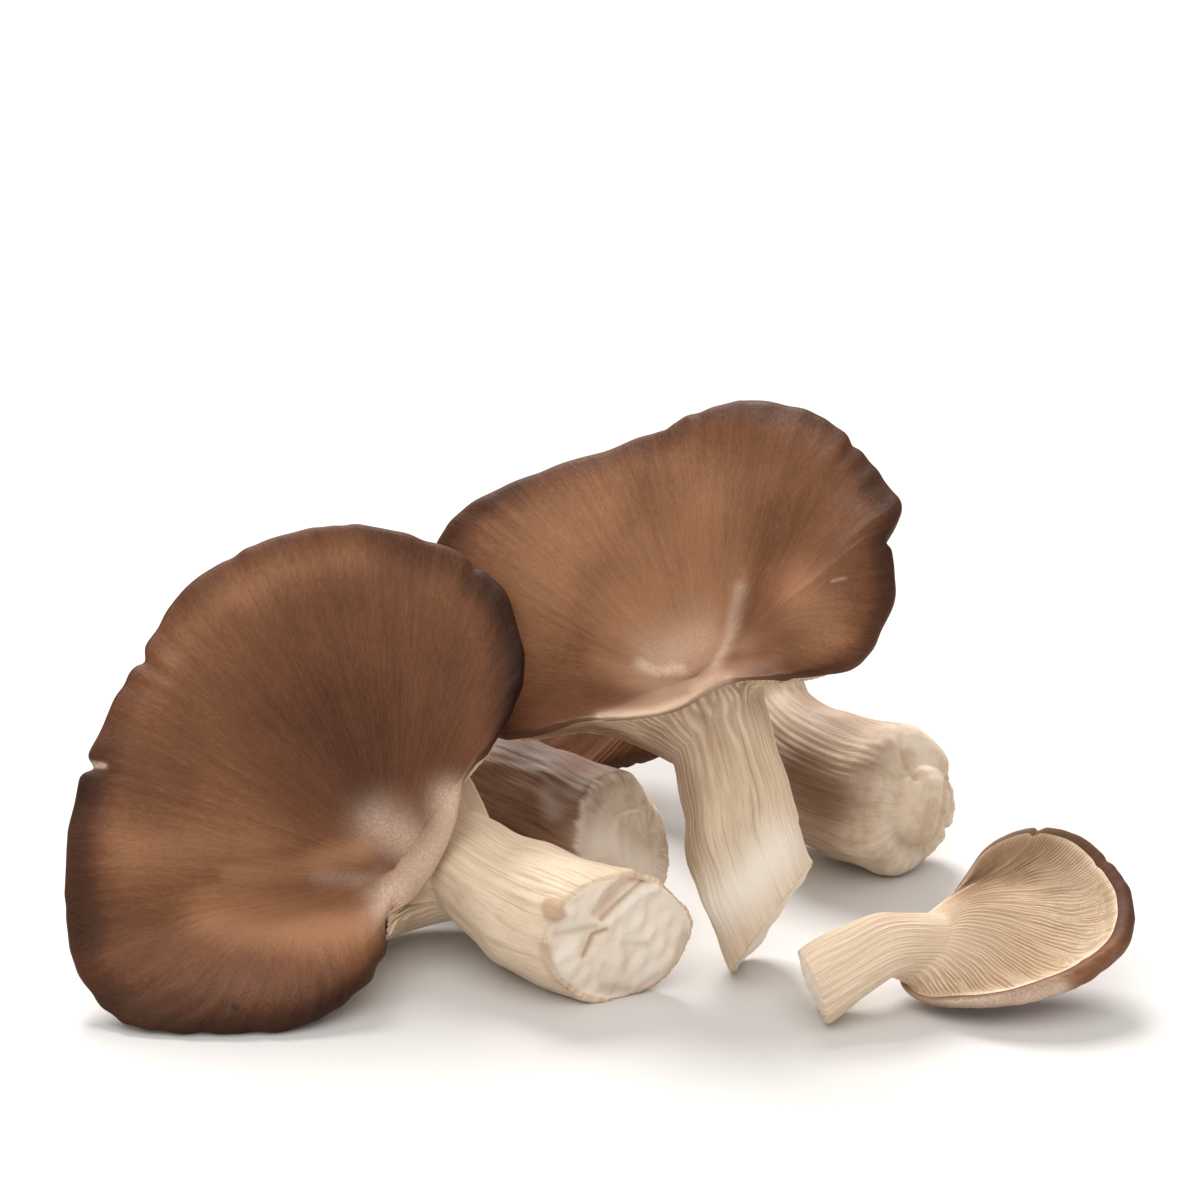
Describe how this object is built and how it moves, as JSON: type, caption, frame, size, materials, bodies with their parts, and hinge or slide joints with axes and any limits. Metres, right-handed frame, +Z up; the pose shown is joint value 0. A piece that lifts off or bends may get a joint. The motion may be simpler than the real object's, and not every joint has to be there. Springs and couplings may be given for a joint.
{
  "type": "oyster mushroom cluster",
  "caption": "Cluster of cut oyster mushrooms lying together: brown fan-shaped caps with rolled margins, gills running down pale stems, and cut stem ends.",
  "frame": {"origin": "on the surface the cluster lies on, under the middle of its bounding box", "axes": "+Z up, +X to the right along the front of the cluster, +Y away from its front"},
  "size_m": [0.2078, 0.1516, 0.0985],
  "materials": {
    "mushroom_flesh": "satin, with fine streaks"
  },
  "bodies": {
    "root": {"mushroom_front": "mushroom_flesh", "mushroom_tall": "mushroom_flesh", "mushroom_middle": "mushroom_flesh", "mushroom_back": "mushroom_flesh", "mushroom_small": "mushroom_flesh"}
  },
  "joints": []
}
